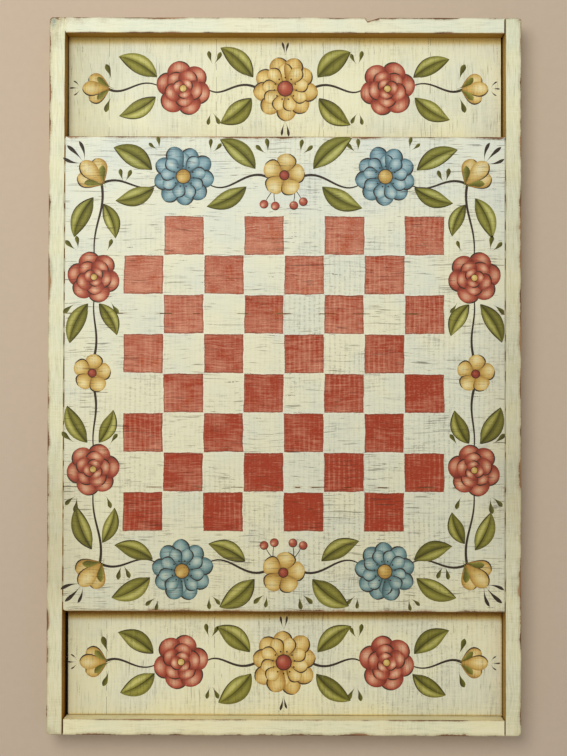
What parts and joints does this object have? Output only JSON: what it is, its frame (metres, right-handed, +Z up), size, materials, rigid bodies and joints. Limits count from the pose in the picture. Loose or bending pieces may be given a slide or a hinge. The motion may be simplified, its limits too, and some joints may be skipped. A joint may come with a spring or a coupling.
{
  "type": "checkerboard",
  "caption": "Painted wooden checkerboard of planks in a low rail frame, with an open tray for captured pieces at each end.",
  "frame": {"origin": "middle of the footprint, on the plane that the rails stand on", "axes": "+Z up out of the playing face, +Y along the board towards the upper tray, +X to the right across it"},
  "size_m": [0.3746, 0.568, 0.0254],
  "materials": {
    "cream_rail_paint": "worn eggshell house paint over softwood, dry and chalky, rubbed to bare brown wood at the edges",
    "cream_board_paint": "worn eggshell house paint over softwood, dry and chalky, rubbed to bare brown wood at the edges",
    "cream_tray_paint": "worn eggshell house paint over softwood, dry and chalky, rubbed to bare brown wood at the edges",
    "aged_steel": "dull dark steel, lightly rusted",
    "red_paint": "thin dry-brushed brick-red house paint",
    "ornament_paint": "thin brushed house paint in olive, slate blue, mustard, brick and umber"
  },
  "bodies": {
    "root": {"floor_board_1": "cream_tray_paint", "floor_board_2": "cream_tray_paint", "floor_board_3": "cream_tray_paint", "floor_board_4": "cream_tray_paint", "floor_board_5": "cream_tray_paint", "left_rail_nails": "aged_steel", "left_side_rail": "cream_rail_paint", "lower_end_rail": "cream_rail_paint", "lower_left_corner_nails": "aged_steel", "lower_plank_brads": "aged_steel", "lower_play_plank": "cream_board_paint", "lower_rail_nails": "aged_steel", "lower_right_corner_nails": "aged_steel", "middle_plank_brads": "aged_steel", "middle_play_plank": "cream_board_paint", "right_rail_nails": "aged_steel", "right_side_rail": "cream_rail_paint", "upper_end_rail": "cream_rail_paint", "upper_left_corner_nails": "aged_steel", "upper_plank_brads": "aged_steel", "upper_play_plank": "cream_board_paint", "upper_rail_nails": "aged_steel", "upper_right_corner_nails": "aged_steel"}
  },
  "joints": []
}
